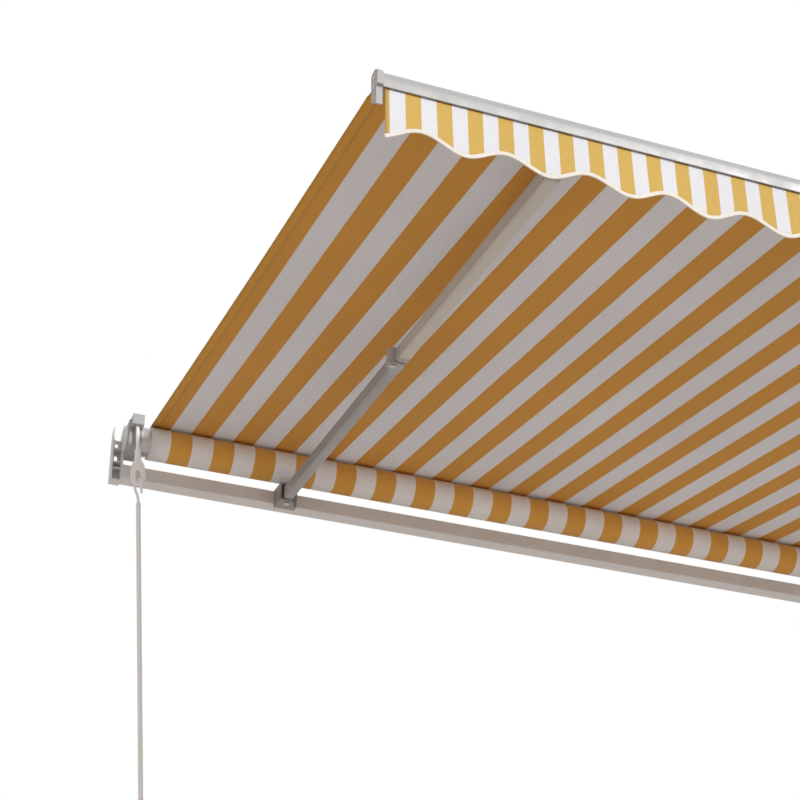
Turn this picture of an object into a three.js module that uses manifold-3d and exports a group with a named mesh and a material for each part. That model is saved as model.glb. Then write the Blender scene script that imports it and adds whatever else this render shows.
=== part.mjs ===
// Retractable folding-arm awning with a crank gear, in its extended position.
// Units are millimetres, +Z is up, +Y points into the wall and -Y out over the terrace.
// The origin is on the wall face of the left wall bracket, level with the torsion bar's axis.

import * as THREE from 'three';
import Module from 'manifold-3d';
import { mergeVertices } from 'three/addons/utils/BufferGeometryUtils.js';

const wasm = await Module();
wasm.setup();

// General clearances
const GAP = 0.3;
const BORE_GAP = 0.4;
const OVERLAP = 1;
const FINE = 20;
const ROUND = 14;
const SMALL = 8;

// Overall layout
const BRACKET_SPAN = 2897;
const BRACKET_WIDTH = 27;
const BRACKET_LEFT = -17;
const BRACKET_RIGHT = BRACKET_LEFT + BRACKET_WIDTH;

// Torsion bar
const BAR_SIZE = 40;
const BAR_WALL = 2;
const BAR_CORNER = 3;
const BAR_BACK = -6;
const BAR_FRONT = BAR_BACK - BAR_SIZE;
const PLUG_FLANGE = 3;
const BAR_START = BRACKET_RIGHT + PLUG_FLANGE + 2 * GAP;
const BAR_END = BRACKET_SPAN - BAR_START;
const PLUG_DEPTH = 14;

// Wall brackets
const WEB = -BAR_BACK - GAP;
const BRACKET_WALL = 3.5;
const BRACKET_TOP = 139;
const BRACKET_BOTTOM = -BAR_SIZE / 2;
const BRACKET_SHOULDER = 96;
const BRACKET_NOSE = 6;
const WEB_TOP = 112;
const WALL_SLOT_WIDTH = 9;
const WALL_SLOT_LENGTH = 24;
const WALL_SLOT_HEIGHTS = [54, 92];
const BRACKET_RIBS = [16, 34, 74];
const BRACKET_OUTER_DEPTH = 28;
const RIB_RECESS = 2;
const RIB_FRONT = RIB_RECESS - BRACKET_OUTER_DEPTH;
const TONGUE_END = 112;
const EAR_RADIUS = 36;
const EAR_ARM_HALF = 32;
const TONGUE_LOW = -14;
const TONGUE_HIGH = 6;
const BAR_SCREWS_X = [46, 92];
const BAR_SCREW_Z = -4;
const BAR_SCREW_RADIUS = 3;
const BAR_SCREW_HEAD = 5.2;
const BAR_SCREW_HEAD_DEPTH = 2.7;
const BAR_SCREW_LENGTH = 14;

// Fabric roller
const ROLLER_Y = -57;
const ROLLER_Z = 88.4;
const TUBE_RADIUS = 39;
const TUBE_WALL = 2.5;
const ROLL_RADIUS = 44.2;
const ROLL_EDGE = 0.8;
const ROLL_SIDES = 32;
const ROLLER_PLUG_DEPTH = 26;
const ROLLER_PLUG_FLANGE = 3;
const AXLE_RADIUS = 7;

// Canopy
const STRIPE = 56.5;
const CANOPY_MARGIN = 64;
const STRIPE_COUNT = Math.floor((BRACKET_SPAN - 2 * CANOPY_MARGIN) / STRIPE);
const HEM = 5.3;
const CANOPY_WIDTH = STRIPE * STRIPE_COUNT - 2 * HEM;
const CANOPY_START = (BRACKET_SPAN - CANOPY_WIDTH) / 2;
const CANOPY_END = CANOPY_START + CANOPY_WIDTH;
const CANOPY_THICK = 1.5;
const CANOPY_SLOPE = 11.85 * Math.PI / 180;

// Front bar
const FRONT_BACK = -1810;
const FRONT_DEPTH = 30;
const CANOPY_ABOVE_BOTTOM = 10.05;
const FRONT_BOTTOM = canopyHeightAt(FRONT_BACK) - CANOPY_ABOVE_BOTTOM;
const FRONT_HEIGHT = 32.3;
const FRONT_WALL = 2.2;
const FRONT_CROWN = 8;
const FRONT_FACE_TOP = 4;
const FRONT_FACE_LOW = 12;
const FRONT_TOE = 2;
const LIP_THICK = 2;
const LIP_DROP = 3;
const SEAT_HALF = 4.2;
const SEAT_WALL = 2;
const FRONT_CAP = 12;
const FRONT_CAP_PROUD = 1.6;
const FRONT_CAP_RIM = 8;
const FRONT_CAP_DROP = 42;
const CAP_RAKE = 22;
const CAP_PROUD = 1;
const CAP_STEP = 6;
const CAP_SPIGOT = 8;
const CAP_SPIGOT_INSET = 12;
const FRONT_START = CANOPY_START - FRONT_CAP_PROUD + FRONT_CAP;
const FRONT_END = BRACKET_SPAN - FRONT_START;
const CANOPY_SLIT = 2.6;
const CANOPY_SLIT_DEPTH = 7;

// Valance
const VALANCE_RECESS = 7;
const VALANCE_Y = FRONT_BACK - FRONT_DEPTH + VALANCE_RECESS;
const VALANCE_THICK = 1.6;
const VALANCE_START = CANOPY_START + 14.7;
const VALANCE_END = BRACKET_SPAN - VALANCE_START;
const VALANCE_LONG = 112.7;
const VALANCE_SHORT = 84.4;
const VALANCE_TROUGH = FRONT_BOTTOM - VALANCE_LONG;
const VALANCE_CREST = FRONT_BOTTOM - VALANCE_SHORT;
const WAVE_LENGTH = 157;
const WAVE_START = 149;
const WAVE_STEPS = 8;
const VALANCE_ROD_RADIUS = 2.4;
const VALANCE_SLOT_DEPTH = 9;
const VALANCE_ROD_Z = FRONT_BOTTOM + VALANCE_SLOT_DEPTH - VALANCE_ROD_RADIUS - 1;
const VALANCE_TOP = VALANCE_ROD_Z - VALANCE_ROD_RADIUS - GAP;

// Folding arms
const SHOULDER_X = 439;
const SHOULDER_REACH = 46;
const SHOULDER_Y = BAR_FRONT - SHOULDER_REACH;
const SHOULDER_Z = -12;
const KNUCKLE_RADIUS = 14.5;
const CONNECTOR_FLANGE = 4;
const CONNECTOR_ROOM = 3.5;
const FRONT_PIVOT_SETBACK = KNUCKLE_RADIUS + CONNECTOR_FLANGE + CONNECTOR_ROOM;
const FRONT_PIVOT_DROP = 18.7;
const FRONT_PIVOT_Y = FRONT_BACK + FRONT_PIVOT_SETBACK;
const FRONT_PIVOT_Z = FRONT_BOTTOM - FRONT_PIVOT_DROP;
const ELBOW_OFFSET = 14.15;
const REAR_WIDTH = 25;
const REAR_HEIGHT = 38;
const FORE_WIDTH = 28;
const FORE_HEIGHT = 39;
const ARM_WALL = 2.5;
const ARM_CORNER = 6;
const KNUCKLE_HEIGHT = 39.4;
const PIN_RADIUS = 5;
const PIN_HEAD = 8;
const PIN_HEAD_THICK = 3;
const FORK_PLATE = 5;
const ARM_SETBACK = 44;
const SPIGOT = 26;
const ELBOW_TONGUE = 25.4;
const ELBOW_PLATE = 28;
const ELBOW_BLOCK = 22.5;
const ELBOW_NECK = 28;
const ELBOW_SHOULDER = 24.5;
const BARREL_ROOT = 4;
const OPEN_PIVOT_GAP = 1.2;
const CHEEK = 4.5;
const CONNECTOR_CLEAR = 2;
const CONNECTOR_SKIRT = 3;
const CONNECTOR_PAD = 13;
const SHOULDER_PLATE = 10;
const SHOULDER_ROUND = KNUCKLE_RADIUS + 3;
const SHOULDER_RIGHT = KNUCKLE_RADIUS + 18;
const SHOULDER_ROOT = 4;
const FORK_ROOT = 6;
const BEYOND = 90;
const CONNECTOR_HALF = KNUCKLE_RADIUS + 1;
const CONNECTOR_FLANGE_HALF = CONNECTOR_HALF + 10;
const SPRING_RADIUS = 8.5;
const SPRING_START = 110;
const SPRING_LENGTH = 380;
const SPRING_RIDGES = 12;
const SPRING_WIRE = 2.5;
const SPRING_GROOVE = 1.2;

// Crank gear
const GEAR_WIDTH = 29;
const GEAR_START = BRACKET_RIGHT + GAP;
const GEAR_FRONT = -101;
const GEAR_BACK = -17;
const GEAR_LOW = 44;
const GEAR_HIGH = 130;
const GEAR_WALL = 3;
const GEAR_CORNER = 12;
const WORM_Y = -113;
const WORM_X = 27.7;
const WORM_LEAN = 4.07 * Math.PI / 180;
const WORM_BLOCK_LOW = 98;
const WORM_BLOCK_HIGH = 128;
const WORM_BLOCK_FRONT = -126;
const WORM_BLOCK_WIDTH = 30;
const SHAFT_RADIUS = 5.1;
const SHAFT_HOLE = SHAFT_RADIUS + 2;
const WORM_RADIUS = 9.4;
const WORM_RISE = 5;
const WORM_LENGTH = 19;
const CROSS_Y = -91.4;
const CROSS_Z = 112;
const CROSS_SHAFT_RADIUS = 3;
const CROSS_SHAFT = [GEAR_START + 1.3, GEAR_START + 23.5];
const SPUR_SPAN = [GEAR_START + 5.8, GEAR_START + 15];
const WORM_WHEEL_SPAN = [GEAR_START + 15.6, GEAR_START + 22];
const WORM_WHEEL_TEETH = 16;
const PINION_TEETH = 12;
const ROLLER_GEAR_TEETH = 30;
const TOOTH_DEPTH = 3;
const TOOTH_RISE = 0.2;
const TOOTH_FALL = 0.5;
const TOOTH_END = 0.7;
const WHEEL_BORE_GAP = 0.8;
const CENTRE_DISTANCE = Math.hypot(CROSS_Y - ROLLER_Y, CROSS_Z - ROLLER_Z) - BORE_GAP;
const PINION_RADIUS = CENTRE_DISTANCE * PINION_TEETH / (PINION_TEETH + ROLLER_GEAR_TEETH);
const ROLLER_GEAR_RADIUS = CENTRE_DISTANCE - PINION_RADIUS;
const TUBE_START = GEAR_START + GEAR_WIDTH + ROLLER_PLUG_FLANGE + 2 * GAP;
const TUBE_END = BRACKET_SPAN - TUBE_START;
const EYE_TOP = -88;
const EYE_WIDE = -140;
const EYE_BOTTOM = -174;
const EYE_HALF = 19;
const EYE_THICK = 7;
const EYE_NECK = SHAFT_RADIUS + 3;
const EYE_NECK_LENGTH = 12;
const EYE_FLARE = EYE_WIDE + 26;
const EYE_FERRULE = 16;
const EYE_HOLE_HALF = 7;
const EYE_HOLE_TOP = -128;
const EYE_HOLE_BOTTOM = -164;

// Crank
const HOOK_WIRE = 3.6;
const HOOK_ARCH = 14;
const HOOK_SEAT_GAP = 1.3;
const HOOK_ARCH_STEPS = 8;
const HOOK_DROP = 8;
const HOOK_STEPS = 34;
const HOOK_SIDES = 8;
const HOOK_BELLY = 0.72;
const HOOK_RETURN = 0.2;
const SOCKET_DEPTH = 30;
const HOOK_TURN = 20 * Math.PI / 180;
const HOOK_TIP = -204;
const ROD_TOP = -226;
const ROD_RADIUS = 6.2;
const ROD_BEND = -1178;
const ROD_OFFSET = 150;
const BEND_RADIUS = 28;
const BEND_STRAIGHT = 40;
const BEND_STEPS = 4;
const ROD_STEPS = 48;
const ROD_SIDES = 8;
const GRIP_RADIUS = 11;
const GRIP_LIP = 5;
const GRIP_WAIST = 1.5;
const GRIP_OVER_BEND = 8;
const GRIP_UNDER_BEND = 2;
const CAP_BELOW_GRIP = 13;
const CAP_LIP = 4;
const CAP_REACH = 12;
const CAP_WALL = 2.5;
const GRIP_UPPER_LENGTH = 102;
const GRIP_LOWER_LENGTH = 140;
const BEND_ABOVE = ROD_BEND + BEND_RADIUS + BEND_STRAIGHT;
const BEND_BELOW = ROD_BEND - BEND_RADIUS - BEND_STRAIGHT;
const GRIP_UPPER_LOW = BEND_ABOVE - GRIP_OVER_BEND;
const GRIP_UPPER = [GRIP_UPPER_LOW, GRIP_UPPER_LOW + GRIP_UPPER_LENGTH];
const GRIP_LOWER_TOP = BEND_BELOW - GRIP_UNDER_BEND;
const GRIP_LOWER = [GRIP_LOWER_TOP - GRIP_LOWER_LENGTH, GRIP_LOWER_TOP];
const ROD_BOTTOM = GRIP_LOWER[0] - CAP_REACH - CAP_BELOW_GRIP;

// Colours
const ALUMINIUM = { color: 0xcfcecc, roughness: 0.42, metalness: 0.15 };
const CAST = { color: 0xb8b6b2, roughness: 0.5, metalness: 0.25 };
const STEEL = { color: 0xbfbfbf, roughness: 0.3, metalness: 0.9 };
const PLASTIC = { color: 0xd6d5d3, roughness: 0.5, metalness: 0 };
const GEAR_METAL = { color: 0x8f8d88, roughness: 0.45, metalness: 0.8 };
const YELLOW = { color: 0xd0a44c, roughness: 0.9, metalness: 0 };
const ENAMEL = { color: 0xd8d6d3, roughness: 0.4, metalness: 0.1 };

// Geometry helpers

function toSolid(geometry) {
  const bare = geometry.clone();
  for (const name of Object.keys(bare.attributes)) {
    if (name !== 'position') bare.deleteAttribute(name);
  }
  const merged = mergeVertices(bare, 1e-4);
  return new wasm.Manifold(new wasm.Mesh({
    numProp: 3,
    vertProperties: new Float32Array(merged.attributes.position.array),
    triVerts: new Uint32Array(merged.index.array),
  }));
}

function toGeometry(solid) {
  const mesh = solid.getMesh();
  const geometry = new THREE.BufferGeometry();
  geometry.setAttribute('position', new THREE.BufferAttribute(new Float32Array(mesh.vertProperties), 3));
  geometry.setIndex(new THREE.BufferAttribute(new Uint32Array(mesh.triVerts), 1));
  return geometry;
}

function join(...geometries) {
  return toGeometry(geometries.map(toSolid).reduce((a, b) => a.add(b)));
}

function cut(geometry, ...tools) {
  return toGeometry(tools.map(toSolid).reduce((a, b) => a.subtract(b), toSolid(geometry)));
}

function box(x0, x1, y0, y1, z0, z1) {
  const geometry = new THREE.BoxGeometry(x1 - x0, y1 - y0, z1 - z0);
  return geometry.translate((x0 + x1) / 2, (y0 + y1) / 2, (z0 + z1) / 2);
}

function outline(points, holes = []) {
  const shape = new THREE.Shape(points.map(([u, v]) => new THREE.Vector2(u, v)));
  shape.holes = holes.map((hole) => new THREE.Path(hole.map(([u, v]) => new THREE.Vector2(u, v))));
  return shape;
}

function extrude(shape, depth, segments = SMALL) {
  return new THREE.ExtrudeGeometry(shape, { depth, bevelEnabled: false, curveSegments: segments });
}

// A section drawn in (y, z) and carried along X.
function alongX(shape, x0, x1, segments) {
  const turn = new THREE.Matrix4().makeBasis(
    new THREE.Vector3(0, 1, 0), new THREE.Vector3(0, 0, 1), new THREE.Vector3(1, 0, 0));
  return extrude(shape, x1 - x0, segments).applyMatrix4(turn).translate(x0, 0, 0);
}

// A section drawn in (x, z) and carried along Y, from y0 up to y1.
function alongY(shape, y0, y1, segments) {
  const turn = new THREE.Matrix4().makeBasis(
    new THREE.Vector3(1, 0, 0), new THREE.Vector3(0, 0, 1), new THREE.Vector3(0, -1, 0));
  return extrude(shape, y1 - y0, segments).applyMatrix4(turn).translate(0, y1, 0);
}

// A section drawn in (x, y) and carried along Z.
function alongZ(shape, z0, z1, segments) {
  return extrude(shape, z1 - z0, segments).translate(0, 0, z0);
}

function rodX(y, z, radius, x0, x1, sides = ROUND) {
  const geometry = new THREE.CylinderGeometry(radius, radius, x1 - x0, sides);
  return geometry.rotateZ(-Math.PI / 2).translate((x0 + x1) / 2, y, z);
}

function rodY(x, z, radius, y0, y1, sides = ROUND) {
  return new THREE.CylinderGeometry(radius, radius, y1 - y0, sides).translate(x, (y0 + y1) / 2, z);
}

function rodZ(x, y, radius, z0, z1, sides = ROUND) {
  const geometry = new THREE.CylinderGeometry(radius, radius, z1 - z0, sides);
  return geometry.rotateX(Math.PI / 2).translate(x, y, (z0 + z1) / 2);
}

// A ring or sleeve with its axis along X, from a profile of [radius, x] points.
function turnedX(profile, y, z, sides = FINE) {
  const closed = [...profile, profile[0]].map(([r, x]) => new THREE.Vector2(r, x));
  return new THREE.LatheGeometry(closed, sides).rotateZ(-Math.PI / 2).translate(0, y, z);
}

function roundedRect(width, height, radius) {
  const [w, h] = [width / 2, height / 2];
  const shape = new THREE.Shape();
  shape.moveTo(-w + radius, -h);
  shape.lineTo(w - radius, -h);
  shape.absarc(w - radius, -h + radius, radius, -Math.PI / 2, 0);
  shape.absarc(w - radius, h - radius, radius, 0, Math.PI / 2);
  shape.absarc(-w + radius, h - radius, radius, Math.PI / 2, Math.PI);
  shape.absarc(-w + radius, -h + radius, radius, Math.PI, Math.PI * 1.5);
  return shape;
}

function hollowRect(width, height, radius, wall) {
  const shape = roundedRect(width, height, radius);
  const inner = roundedRect(width - 2 * wall, height - 2 * wall, Math.max(radius - wall, wall / 2));
  shape.holes = [new THREE.Path(inner.getPoints(4))];
  return shape;
}

function mirror(geometry) {
  const turned = geometry.index ? geometry.toNonIndexed() : geometry.clone();
  turned.scale(-1, 1, 1);
  const { array } = turned.attributes.position;
  for (let i = 0; i < array.length; i += 9) {
    for (let k = 0; k < 3; k += 1) {
      [array[i + k], array[i + 3 + k]] = [array[i + 3 + k], array[i + k]];
    }
  }
  return turned;
}

// The same piece at the other end of the awning.
function otherEnd(geometry) {
  return mirror(geometry).translate(BRACKET_SPAN, 0, 0);
}

function piece(name, geometry, finish) {
  const mesh = new THREE.Mesh(geometry, new THREE.MeshStandardMaterial(finish));
  mesh.name = name;
  return mesh;
}

// Torsion bar and its end plugs

function torsionBar() {
  const section = hollowRect(BAR_SIZE, BAR_SIZE, BAR_CORNER, BAR_WALL);
  const tube = alongX(section, BAR_START, BAR_END, 3).translate(0, (BAR_FRONT + BAR_BACK) / 2, 0);
  const holes = [...BAR_SCREWS_X, ...BAR_SCREWS_X.map((x) => BRACKET_SPAN - x)].map((x) => (
    rodY(x, BAR_SCREW_Z, BAR_SCREW_RADIUS + GAP, BAR_BACK - BAR_WALL - OVERLAP, BAR_BACK + OVERLAP, SMALL)));
  return cut(tube, ...holes);
}

function barPlug() {
  const middle = (BAR_FRONT + BAR_BACK) / 2;
  const inside = BAR_SIZE - 2 * BAR_WALL - 2 * GAP;
  const flange = alongX(roundedRect(BAR_SIZE, BAR_SIZE, BAR_CORNER), BAR_START - GAP - PLUG_FLANGE,
    BAR_START - GAP, 3).translate(0, middle, 0);
  const body = alongX(roundedRect(inside, inside, 1), BAR_START - GAP - PLUG_FLANGE / 2,
    BAR_START + PLUG_DEPTH, 2).translate(0, middle, 0);
  return join(flange, body);
}

// Wall brackets

function bracketSide(front) {
  const shape = new THREE.Shape();
  shape.moveTo(0, BRACKET_BOTTOM);
  shape.lineTo(0, BRACKET_SHOULDER);
  shape.quadraticCurveTo(0, BRACKET_TOP, front + BRACKET_NOSE, BRACKET_TOP);
  shape.lineTo(front, BRACKET_TOP);
  shape.lineTo(front, BRACKET_BOTTOM);
  return shape;
}

function wallSlot(z) {
  const x = (BRACKET_LEFT + BRACKET_RIGHT) / 2;
  const half = (WALL_SLOT_LENGTH - WALL_SLOT_WIDTH) / 2;
  const shape = new THREE.Shape();
  shape.absarc(x, z + half, WALL_SLOT_WIDTH / 2, 0, Math.PI);
  shape.absarc(x, z - half, WALL_SLOT_WIDTH / 2, Math.PI, Math.PI * 2);
  return alongY(shape, -WEB - OVERLAP, OVERLAP, 4);
}

function bearingEar() {
  const disc = rodX(ROLLER_Y, ROLLER_Z, EAR_RADIUS, BRACKET_RIGHT - BRACKET_WALL, BRACKET_RIGHT, FINE);
  const arm = box(BRACKET_RIGHT - BRACKET_WALL, BRACKET_RIGHT, ROLLER_Y, BAR_FRONT + OVERLAP,
    ROLLER_Z - EAR_ARM_HALF, ROLLER_Z + EAR_ARM_HALF);
  return join(disc, arm);
}

function wallBracket() {
  const web = box(BRACKET_LEFT, BRACKET_RIGHT, -WEB, 0, BRACKET_BOTTOM, WEB_TOP);
  const outer = alongX(bracketSide(-BRACKET_OUTER_DEPTH), BRACKET_LEFT, BRACKET_LEFT + BRACKET_WALL, SMALL);
  const inner = alongX(bracketSide(BAR_FRONT), BRACKET_RIGHT - BRACKET_WALL, BRACKET_RIGHT, SMALL);
  const floor = box(BRACKET_LEFT, BRACKET_RIGHT, -BRACKET_OUTER_DEPTH, 0, BRACKET_BOTTOM,
    BRACKET_BOTTOM + BRACKET_WALL);
  const tongue = box(BRACKET_RIGHT - OVERLAP, TONGUE_END, -WEB, 0, TONGUE_LOW, TONGUE_HIGH);
  const ribs = BRACKET_RIBS.map((z) => (
    box(BRACKET_LEFT, BRACKET_RIGHT, RIB_FRONT, -WEB / 2, z, z + BRACKET_WALL)));
  const body = join(web, outer, inner, floor, tongue, bearingEar(), ...ribs);
  const screwHoles = BAR_SCREWS_X.flatMap((x) => [
    rodY(x, BAR_SCREW_Z, BAR_SCREW_RADIUS + GAP, -WEB - OVERLAP, OVERLAP, SMALL),
    rodY(x, BAR_SCREW_Z, BAR_SCREW_HEAD + GAP, -BAR_SCREW_HEAD_DEPTH - GAP, OVERLAP, SMALL),
  ]);
  const axleHole = rodX(ROLLER_Y, ROLLER_Z, AXLE_RADIUS + BORE_GAP, BRACKET_RIGHT - BRACKET_WALL - OVERLAP,
    BRACKET_RIGHT + OVERLAP);
  return cut(body, ...WALL_SLOT_HEIGHTS.map(wallSlot), ...screwHoles, axleHole);
}

function barScrew(x) {
  const head = rodY(x, BAR_SCREW_Z, BAR_SCREW_HEAD, -BAR_SCREW_HEAD_DEPTH, -GAP / 2, SMALL);
  const shank = rodY(x, BAR_SCREW_Z, BAR_SCREW_RADIUS, -BAR_SCREW_LENGTH, -1, SMALL);
  return join(head, shank);
}

// Fabric roller

function rollerTube() {
  const inside = TUBE_RADIUS - TUBE_WALL;
  const profile = [[inside, TUBE_START], [TUBE_RADIUS, TUBE_START], [TUBE_RADIUS, TUBE_END],
    [inside, TUBE_END]];
  return turnedX(profile, ROLLER_Y, ROLLER_Z);
}

function rolledFabric() {
  const inside = TUBE_RADIUS + GAP;
  const shoulder = ROLL_RADIUS - ROLL_EDGE;
  return turnedX([[inside, CANOPY_START], [shoulder, CANOPY_START], [ROLL_RADIUS, CANOPY_START + ROLL_EDGE],
    [ROLL_RADIUS, CANOPY_END - ROLL_EDGE], [shoulder, CANOPY_END], [inside, CANOPY_END]],
  ROLLER_Y, ROLLER_Z, ROLL_SIDES);
}

function rollerPlug(axleEnd) {
  const start = TUBE_START - GAP - ROLLER_PLUG_FLANGE;
  const inside = TUBE_RADIUS - TUBE_WALL - GAP;
  const profile = [[0, axleEnd], [AXLE_RADIUS, axleEnd], [AXLE_RADIUS, start], [TUBE_RADIUS - 1, start],
    [TUBE_RADIUS - 1, TUBE_START - GAP], [inside, TUBE_START - GAP],
    [inside, TUBE_START + ROLLER_PLUG_DEPTH], [0, TUBE_START + ROLLER_PLUG_DEPTH]];
  const geometry = new THREE.LatheGeometry(profile.map(([r, x]) => new THREE.Vector2(r, x)), FINE);
  return geometry.rotateZ(-Math.PI / 2).translate(0, ROLLER_Y, ROLLER_Z);
}

// Crank gear

function gearBody(inset, x0, x1) {
  const height = GEAR_HIGH - GEAR_LOW - 2 * inset;
  const depth = GEAR_BACK - GEAR_FRONT - 2 * inset;
  return alongX(roundedRect(depth, height, GEAR_CORNER - inset), x0, x1, 5)
    .translate(0, (GEAR_FRONT + GEAR_BACK) / 2, (GEAR_LOW + GEAR_HIGH) / 2);
}

function wormBlock(inset, low, high) {
  const half = WORM_BLOCK_WIDTH / 2 - inset;
  const block = box(-half, half, WORM_BLOCK_FRONT + inset, GEAR_FRONT + GEAR_WALL, low, high);
  return block.translate(WORM_X, 0, 0);
}

function gearHousing() {
  const end = GEAR_START + GEAR_WIDTH;
  const shell = cut(gearBody(0, GEAR_START, end - GEAR_WALL),
    gearBody(GEAR_WALL, GEAR_START + GEAR_WALL, end + OVERLAP));
  const block = cut(wormBlock(0, WORM_BLOCK_LOW, WORM_BLOCK_HIGH),
    wormBlock(GEAR_WALL, WORM_BLOCK_LOW + GEAR_WALL, WORM_BLOCK_HIGH - GEAR_WALL));
  const passage = box(GEAR_START + GEAR_WALL, end - GEAR_WALL - OVERLAP, GEAR_FRONT - OVERLAP,
    GEAR_FRONT + GEAR_WALL + 2 * OVERLAP, WORM_BLOCK_LOW + GEAR_WALL, WORM_BLOCK_HIGH - GEAR_WALL);
  const opened = cut(join(shell, block), passage);
  const shaftHole = rodZ(WORM_X, WORM_Y, SHAFT_HOLE, WORM_BLOCK_LOW - OVERLAP,
    WORM_BLOCK_LOW + GEAR_WALL + OVERLAP);
  const axleHole = rodX(ROLLER_Y, ROLLER_Z, AXLE_RADIUS + BORE_GAP, GEAR_START - OVERLAP,
    GEAR_START + GEAR_WALL + OVERLAP);
  const crossHole = rodX(CROSS_Y, CROSS_Z, CROSS_SHAFT_RADIUS + GAP, CROSS_SHAFT[0] - GAP,
    GEAR_START + GEAR_WALL + OVERLAP, SMALL);
  return cut(opened, shaftHole, axleHole, crossHole);
}

function gearCover() {
  const end = GEAR_START + GEAR_WIDTH;
  const plate = gearBody(0, end - GEAR_WALL + GAP, end);
  const lip = cut(gearBody(GEAR_WALL + GAP, end - 2 * GEAR_WALL, end - GEAR_WALL + 2 * GAP),
    gearBody(2 * GEAR_WALL, end - 2 * GEAR_WALL - OVERLAP, end - GEAR_WALL + GAP));
  const axleHole = rodX(ROLLER_Y, ROLLER_Z, AXLE_RADIUS + BORE_GAP, end - 3 * GEAR_WALL, end + OVERLAP);
  const lipRelief = box(end - 3 * GEAR_WALL, end - GEAR_WALL + GAP, GEAR_FRONT, CROSS_Y + PINION_RADIUS,
    WORM_BLOCK_LOW - GEAR_WALL, WORM_BLOCK_HIGH);
  const wormSide = wormBlock(-GAP, WORM_BLOCK_LOW - GAP, WORM_BLOCK_HIGH + GAP);
  return cut(join(plate, lip), axleHole, lipRelief, wormSide);
}

function gearWheel(radius, teeth, [x0, x1], bore) {
  const root = radius - TOOTH_DEPTH;
  const points = [];
  for (let i = 0; i < teeth; i += 1) {
    [[0, root], [TOOTH_RISE, radius], [TOOTH_FALL, radius], [TOOTH_END, root]].forEach(([step, r]) => {
      const angle = (i + step) / teeth * Math.PI * 2;
      points.push([r * Math.cos(angle), r * Math.sin(angle)]);
    });
  }
  const hole = Array.from({ length: SMALL }, (_, i) => {
    const angle = -i / SMALL * Math.PI * 2;
    return [bore * Math.cos(angle), bore * Math.sin(angle)];
  });
  return alongX(outline(points, [hole]), x0, x1);
}

function rollerGear() {
  return gearWheel(ROLLER_GEAR_RADIUS, ROLLER_GEAR_TEETH, SPUR_SPAN, AXLE_RADIUS + WHEEL_BORE_GAP)
    .translate(0, ROLLER_Y, ROLLER_Z);
}

function crossGear() {
  const bore = CROSS_SHAFT_RADIUS - OVERLAP;
  const wheel = gearWheel(PINION_RADIUS, WORM_WHEEL_TEETH, WORM_WHEEL_SPAN, bore);
  const pinion = gearWheel(PINION_RADIUS, PINION_TEETH, SPUR_SPAN, bore);
  const shaft = rodX(0, 0, CROSS_SHAFT_RADIUS, ...CROSS_SHAFT, SMALL);
  return join(wheel, pinion, shaft).translate(0, CROSS_Y, CROSS_Z);
}

// The worm and the eye are drawn down the crank axis, with z = 0 where the shaft leaves the gear.

function wormShaft() {
  const worm = rodZ(0, 0, WORM_RADIUS, WORM_RISE, WORM_RISE + WORM_LENGTH, FINE);
  const shaft = rodZ(0, 0, SHAFT_RADIUS, EYE_TOP, WORM_RISE + OVERLAP);
  return join(worm, shaft);
}

function crankEye() {
  const shape = new THREE.Shape();
  const low = EYE_TOP - EYE_NECK_LENGTH;
  shape.moveTo(-EYE_NECK, EYE_TOP);
  shape.lineTo(EYE_NECK, EYE_TOP);
  shape.lineTo(EYE_NECK, low);
  shape.quadraticCurveTo(EYE_HALF, EYE_FLARE, EYE_HALF, EYE_WIDE);
  shape.quadraticCurveTo(EYE_HALF, EYE_BOTTOM, 0, EYE_BOTTOM);
  shape.quadraticCurveTo(-EYE_HALF, EYE_BOTTOM, -EYE_HALF, EYE_WIDE);
  shape.quadraticCurveTo(-EYE_HALF, EYE_FLARE, -EYE_NECK, low);
  const hole = new THREE.Path();
  hole.absarc(0, EYE_HOLE_TOP - EYE_HOLE_HALF, EYE_HOLE_HALF, 0, Math.PI);
  hole.absarc(0, EYE_HOLE_BOTTOM + EYE_HOLE_HALF, EYE_HOLE_HALF, Math.PI, Math.PI * 2);
  shape.holes = [hole];
  const loop = alongY(shape, -EYE_THICK / 2, EYE_THICK / 2, 7);
  const top = EYE_TOP + EYE_FERRULE;
  const ferrule = rodZ(0, 0, EYE_NECK, low, top);
  return cut(join(loop, ferrule), rodZ(0, 0, SHAFT_RADIUS + GAP, EYE_TOP - GAP, top + OVERLAP));
}

// Crank

function sweep(points, radius, steps, sides = SMALL) {
  const path = points.map((p) => new THREE.Vector3(...p));
  const curve = new THREE.CatmullRomCurve3(path, false, 'centripetal');
  const section = new THREE.Shape();
  section.absarc(0, 0, radius, 0, Math.PI * 2);
  return new THREE.ExtrudeGeometry(section, {
    steps, extrudePath: curve, bevelEnabled: false, curveSegments: sides / 2,
  });
}

function crankHook() {
  const seat = EYE_HOLE_BOTTOM + HOOK_SEAT_GAP + HOOK_WIRE;
  const centre = seat - HOOK_ARCH;
  const arch = Array.from({ length: HOOK_ARCH_STEPS + 1 }, (_, i) => {
    const angle = i / HOOK_ARCH_STEPS * Math.PI;
    return [0, -HOOK_ARCH * Math.cos(angle), centre + HOOK_ARCH * Math.sin(angle)];
  });
  const low = centre - HOOK_DROP;
  const points = [[0, -HOOK_ARCH - 1, HOOK_TIP], [0, -HOOK_ARCH, low], ...arch, [0, HOOK_ARCH, low],
    [0, HOOK_ARCH * HOOK_BELLY, low - HOOK_DROP], [0, HOOK_ARCH * HOOK_RETURN, low - 3 * HOOK_DROP],
    [0, 0, ROD_TOP + HOOK_DROP / 2], [0, 0, ROD_TOP - HOOK_DROP], [0, 0, ROD_TOP - SOCKET_DEPTH]];
  return sweep(points, HOOK_WIRE, HOOK_STEPS, HOOK_SIDES).rotateZ(HOOK_TURN);
}

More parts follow.
